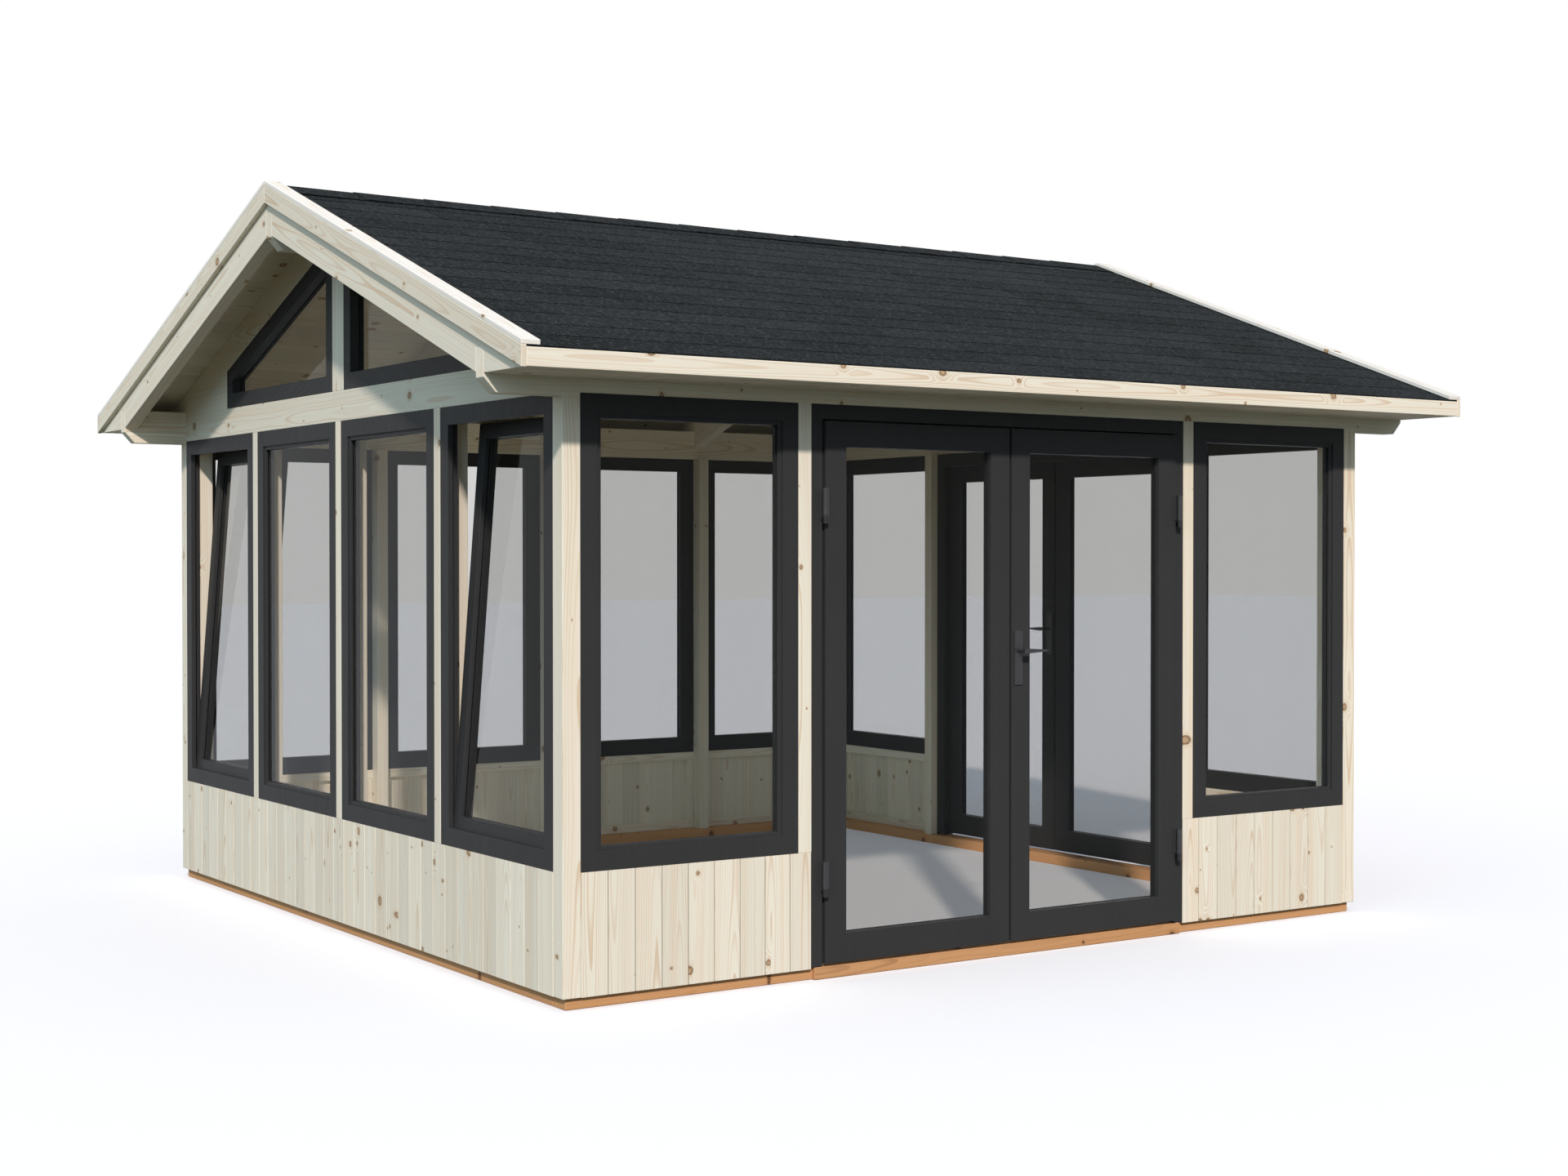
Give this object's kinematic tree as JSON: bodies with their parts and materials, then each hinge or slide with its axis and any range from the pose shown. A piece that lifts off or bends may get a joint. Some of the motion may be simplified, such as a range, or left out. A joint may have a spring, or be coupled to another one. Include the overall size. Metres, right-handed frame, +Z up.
{
  "type": "square wooden garden greenhouse with two double doors",
  "caption": "Square timber greenhouse with tall dark-framed windows, glazed double doors in two walls, tilting sashes and a low shingled gable roof.",
  "frame": {"origin": "middle of the plan at ground level, under the middle of the roof", "axes": "+Z up; +X along the ridge; the front double door faces -Y, the second double door faces +X and the gable with the tilting sashes faces -X"},
  "size_m": [4.268, 4.264, 2.8907],
  "materials": {
    "spruce": "planed, unpainted",
    "spruce_shade": "planed, unpainted",
    "anthracite_wood": "satin paint",
    "impregnated": "pressure impregnated",
    "glass": "clear",
    "shingle": "mineral granules",
    "hardware": "satin black"
  },
  "bodies": {
    "building": {"eaves_sills": "impregnated", "gable_sills": "impregnated", "thresholds": "impregnated", "corner_posts": "spruce", "wall_posts": "spruce", "wall_cladding": "spruce", "wall_plates": "spruce", "gable_beams": "spruce", "gable_posts": "spruce", "gable_infill": "spruce", "ridge_beam": "spruce", "rafters": "spruce", "barge_rafters": "spruce", "roof_boards": "spruce", "fascias": "spruce", "bargeboards": "spruce", "verge_battens": "spruce", "bay_battens": "spruce_shade", "soffit_boards": "spruce_shade", "front_windows": "anthracite_wood", "side_windows": "anthracite_wood", "back_windows": "anthracite_wood", "left_windows": "anthracite_wood", "tilting_sashes": "anthracite_wood", "front_door_frame": "anthracite_wood", "side_door_frame": "anthracite_wood", "gable_lights": "anthracite_wood", "front_panes": "glass", "side_panes": "glass", "back_panes": "glass", "left_panes": "glass", "gable_panes": "glass", "frame_hinges": "hardware", "front_shingles": "shingle", "back_shingles": "shingle", "ridge_cap": "shingle"},
    "front_left_door": {"front_left_leaf": "anthracite_wood", "front_left_glass": "glass", "front_left_hinges": "hardware"},
    "front_right_door": {"front_right_leaf": "anthracite_wood", "front_right_glass": "glass", "front_right_hinges": "hardware", "front_handle_plates": "hardware"},
    "side_left_door": {"side_left_leaf": "anthracite_wood", "side_left_glass": "glass", "side_left_hinges": "hardware"},
    "side_right_door": {"side_right_leaf": "anthracite_wood", "side_right_glass": "glass", "side_right_hinges": "hardware", "side_handle_plates": "hardware"},
    "front_handle": {"front_lever": "hardware"},
    "side_handle": {"side_lever": "hardware"}
  },
  "joints": [
    {"name": "front_left_hinge", "type": "hinge", "parent": "building", "child": "front_left_door", "pos_m": [-0.831, -1.863, 1], "axis": [0, 0, -1], "range_deg": [0, 110]},
    {"name": "front_right_hinge", "type": "hinge", "parent": "building", "child": "front_right_door", "pos_m": [0.831, -1.863, 1], "axis": [0, 0, 1], "range_deg": [0, 110]},
    {"name": "side_left_hinge", "type": "hinge", "parent": "building", "child": "side_left_door", "pos_m": [1.863, -0.831, 1], "axis": [0, 0, -1], "range_deg": [0, 110]},
    {"name": "side_right_hinge", "type": "hinge", "parent": "building", "child": "side_right_door", "pos_m": [1.863, 0.831, 1], "axis": [0, 0, 1], "range_deg": [0, 110]},
    {"name": "front_lever_turn", "type": "hinge", "parent": "front_right_door", "child": "front_handle", "pos_m": [0.0345, -1.8285, 1.117], "axis": [0, 1, 0], "range_deg": [0, 40], "stiffness_Nm_per_rad": 1, "springref_deg": -28.65},
    {"name": "side_lever_turn", "type": "hinge", "parent": "side_right_door", "child": "side_handle", "pos_m": [1.8285, 0.0345, 1.117], "axis": [-1, 0, 0], "range_deg": [0, 40], "stiffness_Nm_per_rad": 1, "springref_deg": -28.65}
  ]
}
